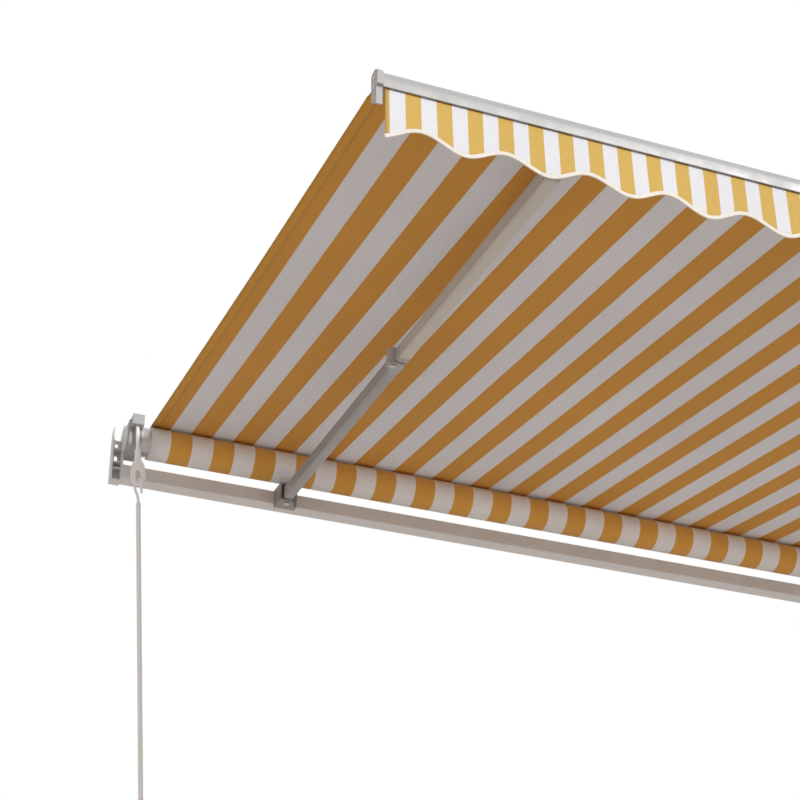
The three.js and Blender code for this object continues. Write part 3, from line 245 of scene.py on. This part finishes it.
class Finish:
    """A material under construction, with its principled shader."""

    def __init__(self, name, roughness, metallic=0.0):
        self.material = bpy.data.materials.new(name)
        self.material.use_nodes = True
        self.tree = self.material.node_tree
        self.shader = self.tree.nodes["Principled BSDF"]
        self.shader.inputs["Roughness"].default_value = roughness
        self.shader.inputs["Metallic"].default_value = metallic

    def node(self, kind, **settings):
        node = self.tree.nodes.new(kind)
        for key, value in settings.items():
            setattr(node, key, value)
        return node

    def feed(self, socket, value):
        if isinstance(value, bpy.types.NodeSocket):
            self.tree.links.new(value, socket)
        else:
            socket.default_value = value

    def math(self, operation, a, b=0.0):
        node = self.node("ShaderNodeMath", operation=operation)
        self.feed(node.inputs[0], a)
        self.feed(node.inputs[1], b)
        return node.outputs[0]

    def mix(self, factor, a, b):
        node = self.node("ShaderNodeMix", data_type="RGBA")
        self.feed(node.inputs["Factor"], factor)
        for socket, value in ((node.inputs[6], a), (node.inputs[7], b)):
            self.feed(socket, value if isinstance(value, bpy.types.NodeSocket) else (*value, 1))
        return node.outputs[2]

    def scale_colour(self, colour, factor):
        node = self.node("ShaderNodeVectorMath", operation="SCALE")
        self.feed(node.inputs[0], colour)
        self.feed(node.inputs["Scale"], factor)
        return node.outputs[0]

    def place(self, uv=False):
        return self.node("ShaderNodeTexCoord").outputs["UV" if uv else "Object"]

    def noise(self, where, scale, detail=3.0, stretch=None):
        if stretch:
            mapping = self.node("ShaderNodeMapping")
            self.feed(mapping.inputs["Vector"], where)
            mapping.inputs["Scale"].default_value = stretch
            where = mapping.outputs[0]
        node = self.node("ShaderNodeTexNoise")
        self.feed(node.inputs["Vector"], where)
        node.inputs["Scale"].default_value = scale
        node.inputs["Detail"].default_value = detail
        return node.outputs["Fac"]

    def spread(self, value, low, high, old_low=0.3, old_high=0.7):
        node = self.node("ShaderNodeMapRange")
        self.feed(node.inputs["Value"], value)
        node.inputs["From Min"].default_value = old_low
        node.inputs["From Max"].default_value = old_high
        node.inputs["To Min"].default_value = low
        node.inputs["To Max"].default_value = high
        return node.outputs[0]

    def bump(self, height, distance, strength=1.0):
        node = self.node("ShaderNodeBump")
        self.feed(node.inputs["Height"], height)
        node.inputs["Distance"].default_value = distance
        node.inputs["Strength"].default_value = strength
        self.feed(self.shader.inputs["Normal"], node.outputs[0])


def arm_grooves(f):
    """Two fine grooves drawn into each side of an arm profile, at equal heights from the arm plane, as a
    mask for their bump and their painted shade.
    """
    normal = Vector((0, -math.sin(PITCH), math.cos(PITCH)))
    height = f.node("ShaderNodeVectorMath", operation="DOT_PRODUCT")
    f.feed(height.inputs[0], f.place())
    height.inputs[1].default_value = normal
    above = f.math("ABSOLUTE", f.math("SUBTRACT", height.outputs["Value"], SHOULDER.dot(normal)))
    off = f.math("ABSOLUTE", f.math("SUBTRACT", above, GROOVE_HEIGHT))
    return f.spread(off, 1.0, 0.0, GROOVE_HALF * 0.5, GROOVE_HALF)


def coated(name, colour, roughness, grain=0.00008, shade_and_dirt=0.10, grooved_and_shaded=False):
    """Powder coat or enamel: a soft mottle, painted shade and soiling in the corners, painted shade
    along the arm grooves where asked, and a fine orange-peel surface.
    """
    f = Finish(name, roughness)
    where = f.place()
    mottle = f.spread(f.noise(where, 9.0), 0.96, 1.02)
    # Ambient occlusion darkens the colour in corners and crevices: painted shade, broken up by noise
    # into soiling.
    corner_shade = f.node("ShaderNodeAmbientOcclusion", samples=4)
    corner_shade.inputs["Distance"].default_value = CORNER_SHADE_REACH
    grime_and_shade_mask = f.math("MULTIPLY", f.noise(where, 55.0, 4.0), corner_shade.outputs["AO"])
    grime_and_shade = f.spread(grime_and_shade_mask, 1 - shade_and_dirt, 1.0, 0.05, 0.45)
    level = f.math("MULTIPLY", mottle, grime_and_shade)
    height = f.noise(where, 900.0, 2.0)
    if grooved_and_shaded:
        groove_and_shade = arm_grooves(f)
        # The grooves are darkened in colour as well as pressed in by bump: painted shade in the grooves.
        level = f.math("MULTIPLY", level, f.math("SUBTRACT", 1.0, f.math("MULTIPLY", groove_and_shade, 0.4)))
        height = f.math("SUBTRACT", height, f.math("MULTIPLY", groove_and_shade, 4.0))
    f.feed(f.shader.inputs["Base Color"], f.scale_colour(colour, level))
    worn = f.spread(f.noise(where, 24.0), roughness - 0.06, roughness + 0.08)
    f.feed(f.shader.inputs["Roughness"], worn)
    f.bump(height, grain)
    return f.material


def plated(name, colour, roughness):
    """Zinc-plated or drawn steel: fine scratches and dull patches."""
    f = Finish(name, roughness, 0.9)
    where = f.place()
    scratch = f.noise(where, 700.0, 2.0)
    patch = f.spread(f.noise(where, 40.0), 0.86, 1.08)
    f.feed(f.shader.inputs["Base Color"], f.scale_colour(colour, patch))
    f.feed(f.shader.inputs["Roughness"], f.spread(scratch, roughness - 0.05, roughness + 0.14))
    f.bump(scratch, 0.00004)
    return f.material


def moulded(name, colour, roughness):
    """Injection-moulded plastic with a fine spark-eroded grain."""
    f = Finish(name, roughness)
    where = f.place()
    mottle = f.spread(f.noise(where, 30.0), 0.96, 1.02)
    f.feed(f.shader.inputs["Base Color"], f.scale_colour(colour, mottle))
    f.bump(f.noise(where, 1600.0, 1.0), 0.00006)
    return f.material


def stitches(f, u, v, seams):
    """Rows of thread along v, one at each u in seams."""
    dash = f.math("GREATER_THAN", f.math("SINE", f.math("MULTIPLY", v, 2 * math.pi / STITCH)), -0.3)
    rows = 0.0
    for seam in seams:
        near = f.math("LESS_THAN", f.math("ABSOLUTE", f.math("SUBTRACT", u, seam)), THREAD_HALF)
        rows = f.math("MAXIMUM", rows, near)
    return f.math("MULTIPLY", rows, dash)


def let_light_through(f, colour):
    """Part of the light that falls on one side of the cloth comes out at the other."""
    through = f.node("ShaderNodeBsdfTranslucent")
    f.feed(through.inputs["Color"], colour)
    mix = f.node("ShaderNodeMixShader")
    mix.inputs[0].default_value = CLOTH_SHOWS_THROUGH
    f.feed(mix.inputs[1], f.shader.outputs[0])
    f.feed(mix.inputs[2], through.outputs[0])
    output = next(n for n in f.tree.nodes if n.type == "OUTPUT_MATERIAL")
    f.feed(output.inputs["Surface"], mix.outputs[0])


def stripe_dye(f, where, u, stripe, start, first, second):
    """Two dyes by turns across the cloth, with a slightly fuzzy border."""
    fuzz = f.math("MULTIPLY", f.math("SUBTRACT", f.noise(where, 900.0, 1.0), 0.5), STRIPE_FUZZ)
    step = f.math("DIVIDE", f.math("SUBTRACT", f.math("ADD", u, fuzz), start - 200 * stripe), stripe)
    parity = f.math("MODULO", step, 2.0)
    return f.mix(f.math("GREATER_THAN", parity, 1.0), first, second)


def plain_weave(f, u, v):
    thread = 2 * math.pi / THREAD_PITCH
    weft = f.math("SINE", f.math("MULTIPLY", v, thread))
    warp = f.math("SINE", f.math("MULTIPLY", u, thread))
    return f.math("MULTIPLY", weft, warp)


def woven(name, stripe, start, first, second, seams=(), backlit=False):
    """Striped awning cloth: u runs across the stripes and v along them, both in metres."""
    f = Finish(name, 0.88)
    where = f.place(uv=True)
    split = f.node("ShaderNodeSeparateXYZ")
    f.feed(split.inputs[0], where)
    u, v = split.outputs["X"], split.outputs["Y"]
    dye = stripe_dye(f, where, u, stripe, start, first, second)
    weave = plain_weave(f, u, v)
    slub = f.noise(where, 60.0, 4.0, (1.0, 9.0, 1.0))
    cloud = f.noise(where, 2.2, 2.0)
    shade = f.math("MULTIPLY", f.spread(slub, 0.955, 1.03), f.spread(cloud, 0.965, 1.025))
    shade = f.math("MULTIPLY", shade, f.spread(weave, 0.97, 1.02, -1.0, 1.0))
    height = f.math("ADD", weave, f.math("MULTIPLY", slub, 2.0))
    if seams:
        sewn = stitches(f, u, v, seams)
        dye = f.mix(f.math("MULTIPLY", sewn, 0.75), dye, THREAD)
        height = f.math("ADD", height, f.math("MULTIPLY", sewn, 3.0))
    colour = f.scale_colour(dye, shade)
    f.feed(f.shader.inputs["Base Color"], colour)
    f.shader.inputs["Sheen Weight"].default_value = 0.15
    f.shader.inputs["Sheen Roughness"].default_value = 0.5
    f.bump(height, 0.00012)
    if backlit:
        let_light_through(f, colour)
    return f.material


def tape(name, colour):
    """Plain woven binding tape."""
    f = Finish(name, 0.85)
    where = f.place()
    mottle = f.spread(f.noise(where, 120.0), 0.94, 1.03)
    f.feed(f.shader.inputs["Base Color"], f.scale_colour(colour, mottle))
    f.bump(f.noise(where, 1400.0, 1.0), 0.0001)
    return f.material


# Mesh helpers

def new_piece(name, vertices, faces, material, body, uv=None, smooth=True):
    mesh = bpy.data.meshes.new(name)
    mesh.from_pydata([tuple(v) for v in vertices], [], faces)
    if uv:
        layer = mesh.uv_layers.new(name="UVMap")
        for loop in mesh.loops:
            layer.data[loop.index].uv = uv[loop.vertex_index]
    for polygon in mesh.polygons:
        polygon.use_smooth = smooth
    mesh.materials.append(material)
    mesh.validate()
    piece = bpy.data.objects.new(name, mesh)
    bpy.context.scene.collection.objects.link(piece)
    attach(piece, body)
    return piece


def cloth(name, columns, rows, place, thickness, material, body):
    """A closed sheet: place(i, j) gives the middle surface, its normal and its cloth coordinates."""
    vertices, uv, faces = [], [], []
    for side in (0.5, -0.5):
        for i in range(columns + 1):
            for j in range(rows + 1):
                point, normal, where = place(i / columns, j / rows)
                vertices.append(point + normal * (side * thickness))
                uv.append(where)
    count = (columns + 1) * (rows + 1)

    def at(i, j, side):
        return side * count + i * (rows + 1) + j

    for i in range(columns):
        for j in range(rows):
            faces.append((at(i, j, 0), at(i + 1, j, 0), at(i + 1, j + 1, 0), at(i, j + 1, 0)))
            faces.append((at(i, j, 1), at(i, j + 1, 1), at(i + 1, j + 1, 1), at(i + 1, j, 1)))
    for i in range(columns):
        faces.append((at(i, 0, 0), at(i, 0, 1), at(i + 1, 0, 1), at(i + 1, 0, 0)))
        faces.append((at(i, rows, 0), at(i + 1, rows, 0), at(i + 1, rows, 1), at(i, rows, 1)))
    for j in range(rows):
        faces.append((at(0, j, 0), at(0, j + 1, 0), at(0, j + 1, 1), at(0, j, 1)))
        faces.append((at(columns, j, 0), at(columns, j, 1),
                      at(columns, j + 1, 1), at(columns, j + 1, 0)))
    return new_piece(name, vertices, faces, material, body, uv)


# Cloth

def canopy_point(x, along):
    """A point on the canopy's middle surface, by its distance down the slope from the roll."""
    outward = Vector((0, -math.cos(CANOPY_SLOPE), -math.sin(CANOPY_SLOPE)))
    normal = Vector((0, -math.sin(CANOPY_SLOPE), math.cos(CANOPY_SLOPE)))
    start = ROLLER + normal * (ROLL_RADIUS + 0.001)
    return Vector((x, start.y, start.z)) + outward * along, normal


CANOPY_LENGTH = (ROLLER.y - math.sin(CANOPY_SLOPE) * ROLL_RADIUS - CANOPY_FRONT) / math.cos(CANOPY_SLOPE)
CANOPY_SAG = 0.006


def canopy_sag(i, j):
    """How far the cloth hangs below its flat plane, less at the front bar and roll than between them."""
    ripple = noise.noise(Vector((i * 18, j * 2.4, 0.3)))
    return CANOPY_SAG * math.sin(math.pi * j) * (1 + 0.25 * ripple)


def add_canopy(material):
    def place(i, j):
        x = CANOPY_START + (CANOPY_END - CANOPY_START) * i
        inset = 0.0115 * max(0, 1 - (1 - j) / 0.006) if j > 0.994 else 0
        side = 1 if i < 0.5 else -1
        if i in (0, 1):
            x += side * inset
        point, normal = canopy_point(x, CANOPY_LENGTH * j)
        return point - normal * canopy_sag(i, j), normal, (x, CANOPY_LENGTH * j)

    piece = cloth("canopy_cloth", CANOPY_COLUMNS, CANOPY_ROWS, place, CANOPY_THICK, material,
                  "wall_frame")
    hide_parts("canopy")
    return piece


def add_hem(name, x0, x1, material):
    """The canopy's turned side edge, sewn down on its underside."""
    def place(i, j):
        share = (x0 + (x1 - x0) * i - CANOPY_START) / (CANOPY_END - CANOPY_START)
        along = HEM_START + (CANOPY_LENGTH - HEM_SHORTER) * j
        point, normal = canopy_point(x0 + (x1 - x0) * i, along)
        drop = canopy_sag(share, along / CANOPY_LENGTH) + HEM_BELOW
        return point - normal * drop, normal, (x0 + (x1 - x0) * i, along)

    return cloth(name, 3, CANOPY_ROWS, place, HEM_THICK, material, "wall_frame")


def add_roll(material):
    """The cloth still on the roller: a true spiral, so that its ends show their turns."""
    def place(i, j):
        angle = 2 * math.pi * ROLL_TURNS * j
        radius = ROLL_RADIUS - ROLL_THICK / 2 - ROLL_PITCH * ROLL_TURNS * (1 - j) + 0.0001
        top = math.pi / 2 + CANOPY_SLOPE
        outward = Vector((0, math.cos(top + angle), math.sin(top + angle)))
        x = CANOPY_START + (CANOPY_END - CANOPY_START) * i
        return Vector((x, ROLLER.y, ROLLER.z)) + outward * radius, outward, (x, radius * angle)

    piece = cloth("fabric_roll", ROLL_COLUMNS, ROLL_TURNS * ROLL_STEPS, place, ROLL_THICK, material,
                  "roller")
    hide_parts("rolled_fabric")
    return piece


def valance_edge(x):
    middle = (VALANCE_TROUGH + VALANCE_CREST) / 2
    swing = (VALANCE_CREST - VALANCE_TROUGH) / 2
    return middle + swing * math.cos((x - WAVE_START) / WAVE_LENGTH * 2 * math.pi)


def valance_ripple(x, j):
    """The free lower edge moves a little in and out."""
    return 0.0035 * j * j * noise.noise(Vector((x * 7.5, 0.4, 0.1))) - 0.0012 * j


def add_valance(material):
    def place(i, j):
        x = VALANCE_START + (VALANCE_END - VALANCE_START) * i
        z = VALANCE_TOP + (valance_edge(x) - VALANCE_TOP) * j
        return Vector((x, VALANCE_Y + valance_ripple(x, j), z)), Vector((0, -1, 0)), (x, z)

    piece = cloth("valance_cloth", VALANCE_COLUMNS, VALANCE_ROWS, place, VALANCE_THICK, material,
                  "front_bar_body")
    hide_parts("valance")
    return piece


def add_binding(material):
    """Tape folded over the scalloped edge."""
    vertices, faces = [], []
    count = BINDING_STEPS
    section = [(-1, -1), (-1, 1), (1, 1), (1, -1)]
    for k in range(count + 1):
        x = VALANCE_START + (VALANCE_END - VALANCE_START) * k / count
        slope = (valance_edge(x + 1e-4) - valance_edge(x - 1e-4)) / 2e-4
        up = Vector((-slope, 0, 1)).normalized()
        point = Vector((x, VALANCE_Y + valance_ripple(x, 1), valance_edge(x)))
        point += up * (BINDING_HALF_WIDTH * 0.6)
        for a, b in section:
            across = Vector((0, b * BINDING_HALF_THICK, 0))
            vertices.append(point + up * (a * BINDING_HALF_WIDTH) + across)
    for k in range(count):
        for n in range(4):
            m = (n + 1) % 4
            faces.append((k * 4 + n, k * 4 + m, (k + 1) * 4 + m, (k + 1) * 4 + n))
    faces.append((3, 2, 1, 0))
    faces.append(tuple(range(count * 4, count * 4 + 4)))
    return new_piece("valance_binding", vertices, faces, material, "front_bar_body",
                     smooth=False)


# Screws, bolts and rivets

def stud(spot, radius, height, sides):
    """A closed head on a surface: round heads are domed, six-sided ones are chamfered."""
    point, normal = spot
    across = normal.orthogonal().normalized()
    up = normal.cross(across)
    crown = 0.86 if sides == 6 else 0.62
    vertices = []
    for share, lift in ((1, -0.0004), (1, height * 0.7), (crown, height)):
        for n in range(sides):
            angle = 2 * math.pi * n / sides
            ring = (across * math.cos(angle) + up * math.sin(angle)) * radius * share
            vertices.append(point + ring + normal * lift)
    faces = [tuple(reversed(range(sides))), tuple(range(2 * sides, 3 * sides))]
    for k in range(2):
        for n in range(sides):
            m = (n + 1) % sides
            faces.append((k * sides + n, k * sides + m, (k + 1) * sides + m, (k + 1) * sides + n))
    return vertices, faces


def add_studs(name, spots, radius, height, sides, material, body):
    vertices, faces = [], []
    for spot in spots:
        points, sheets = stud(spot, radius, height, sides)
        faces += [tuple(i + len(vertices) for i in sheet) for sheet in sheets]
        vertices += points
    piece = new_piece(name, vertices, faces, material, body, smooth=False)
    for polygon in piece.data.polygons:
        polygon.use_smooth = sides > 6 and len(polygon.vertices) == 4
    return piece


def both_ends(spots):
    """The given spots and their mirror images at the right end of the awning."""
    turned = [(Vector((SPAN - p.x, p.y, p.z)), Vector((-n.x, n.y, n.z))) for p, n in spots]
    return spots + turned


def arm_rivets(side, along):
    """Two rivets on each side face of a profile, over the spigot of the casting inside it."""
    at, half = along
    frame_x = SHOULDER.x if side == "left" else SPAN - SHOULDER.x
    place = Matrix.Translation((frame_x, SHOULDER.y, SHOULDER.z)) @ Matrix.Rotation(PITCH, 4, "X")
    turn = place.to_3x3()
    spots = []
    for x in (-1, 1):
        for z in (-0.0045, 0.0045):
            spots.append((place @ Vector((x * half, at, z)), turn @ Vector((x, 0, 0))))
    return spots


def add_fixings(steel):
    out = Vector((0, -1, 0))
    below = Vector((0, 0, -1))
    left = Vector((-1, 0, 0))
    clamps = [(Vector((SHOULDER.x + 0.026, -0.0563, z)), out) for z in (-0.011, 0.011)]
    add_studs("shoulder_bolts", both_ends(clamps), 0.005, 0.0042, 6, steel, "wall_frame")
    pads = [(Vector((SHOULDER.x + x, -1.816, -0.2496)), below) for x in (-0.019, 0.019)]
    add_studs("front_bolts", both_ends(pads), 0.0042, 0.0034, 6, steel, "front_bar_body")
    caps = [(Vector((0.068, -1.825, z)), left) for z in (-0.222, -0.240)]
    add_studs("cap_screws", both_ends(caps), 0.0036, 0.0014, 12, steel, "front_bar_body")
    cover = [(Vector((0.0393, y, z)), -left) for y in (-0.093, -0.025) for z in (0.052, 0.122)]
    add_studs("gear_screws", cover, 0.0032, 0.0018, 12, steel, "wall_frame")
    stop = [(Vector((0.0277, -0.113, 0.128)), -below)]
    add_studs("worm_stop", stop, 0.0045, 0.005, 12, steel, "wall_frame")
    half_reach, setback, spigot = REACH / 2, 0.044, 0.013
    for side in ("left", "right"):
        ends = ((-setback - spigot, 0.0125), (-half_reach + setback + spigot, 0.0125))
        spots = [spot for end in ends for spot in arm_rivets(side, end)]
        add_studs(side + "_rear_rivets", spots, 0.0026, 0.0012, 12, steel, side + "_rear_arm_body")
        ends = ((-half_reach - setback - spigot, 0.014), (-REACH + setback + spigot, 0.014))
        spots = [spot for end in ends for spot in arm_rivets(side, end)]
        add_studs(side + "_forearm_rivets", spots, 0.0026, 0.0012, 12, steel, side + "_forearm_body")


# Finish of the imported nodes

def finish_node(name, material):
    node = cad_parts[name]
    node.data.materials.clear()
    node.data.materials.append(material)
    for polygon in node.data.polygons:
        polygon.use_smooth = True
    weld = node.modifiers.new("weld", "WELD")
    weld.merge_threshold = WELD_GAP
    edge = node.modifiers.new("edge", "BEVEL")
    edge.width = EDGE_BEVEL
    edge.segments = 2
    edge.limit_method = "ANGLE"
    edge.angle_limit = SHARP_ANGLE
    edge.use_clamp_overlap = True
    normals = node.modifiers.new("normals", "WEIGHTED_NORMAL")
    normals.keep_sharp = True


NODE_FINISHES = {
    "enamel": ["torsion_bar"],
    "rear_arm": ["rear_arm"],
    "forearm": ["forearm"],
    "front_profile": ["front_bar"],
    "bracket": ["wall_bracket", "roller_plug", "bar_plug"],
    "gear_case": ["gear_housing", "gear_cover"],
    "shoulder_casting_shaded": ["shoulder_bracket"],
    "casting": ["shoulder_knuckle", "elbow_fork", "elbow_knuckle", "front_knuckle", "front_connector"],
    "plastic": ["front_cap", "valance_rod"],
    "grip": ["crank_upper_grip", "crank_lower_grip", "crank_end_cap"],
    "zinc": ["screw", "_pin", "spring", "roller_tube"],
    "greased": ["cross_gear", "roller_gear"],
    "crank": ["crank_eye", "crank_rod", "crank_hook", "worm_shaft"],
}


def make_finishes():
    return {
        "enamel": coated("enamel", ENAMEL, 0.42),
        "rear_arm": coated("rear_arm", REAR_ARM, 0.40, grooved_and_shaded=True),
        "forearm": coated("forearm", FOREARM, 0.40, grooved_and_shaded=True),
        "front_profile": coated("front_profile", FRONT_PROFILE, 0.38),
        # Brackets, cases and castings get deeper painted shade and soiling in their corners.
        "bracket": coated("bracket", BRACKET, 0.50, grain=0.00020, shade_and_dirt=0.14),
        "gear_case": coated("gear_case", GEAR_CASE, 0.46, grain=0.00020, shade_and_dirt=0.16),
        "casting": coated("casting", CASTING, 0.52, grain=0.00022, shade_and_dirt=0.18),
        # Darker copy of the casting finish: painted shade on the shoulder bracket.
        "shoulder_casting_shaded": coated("shoulder_casting_shaded", SHOULDER_CASTING_SHADED, 0.52, grain=0.00022, shade_and_dirt=0.18),
        # The plastic is partly its own grey and partly painted shade on the end caps.
        "plastic": moulded("plastic", PLASTIC_AND_SHADE, 0.5),
        "grip": moulded("grip", CRANK_ENAMEL, 0.48),
        "zinc": plated("zinc", ZINC, 0.32),
        "greased": plated("greased", GREASED, 0.4),
        "crank": coated("crank_enamel", CRANK_ENAMEL, 0.36),
    }


def fold_towards_roll(pieces):
    """Gives each piece its own copy of its mesh."""
    for piece in pieces:
        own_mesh(piece)


def add_cloths():
    """Canopy with its hems, fabric on the roller, and valance with its binding."""
    canopy_cloth = woven("canopy_cloth", STRIPE, STRIPE_START, CANOPY_YELLOW, CANOPY_WHITE, SEAMS,
                         backlit=True)
    # The hem's yellow is brighter than the canopy's to offset its shade: painted light.
    hem_cloth_painted_light = woven("hem_cloth_painted_light", STRIPE, STRIPE_START, HEM_YELLOW_PAINTED_LIGHT, CANOPY_WHITE, SEAMS, backlit=True)
    roll_cloth = woven("roll_cloth", STRIPE, STRIPE_START, ROLL_WHITE, ROLL_YELLOW, SEAMS)
    valance_cloth = woven("valance_cloth", VALANCE_STRIPE, VALANCE_STRIPE_START, VALANCE_YELLOW,
                          VALANCE_WHITE)
    binding = tape("binding", CREAM)
    canopy = add_canopy(canopy_cloth)
    hems = [
        add_hem("canopy_left_hem", CANOPY_START + HEM_OUTER, CANOPY_START + HEM_INNER, hem_cloth_painted_light),
        add_hem("canopy_right_hem", CANOPY_END - HEM_INNER, CANOPY_END - HEM_OUTER, hem_cloth_painted_light),
    ]
    roll = add_roll(roll_cloth)
    valance = add_valance(valance_cloth)
    edge = add_binding(binding)
    fold_towards_roll([canopy, *hems])


def build():
    add_camera()
    add_sun()
    add_world()
    add_floor()
    finishes = make_finishes()
    add_cloths()
    add_fixings(finishes["zinc"])
    for finish, keys in NODE_FINISHES.items():
        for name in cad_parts:
            if any(key in name for key in keys):
                finish_node(name, finishes[finish])
    bpy.context.scene.view_settings.view_transform = "Standard"


build()
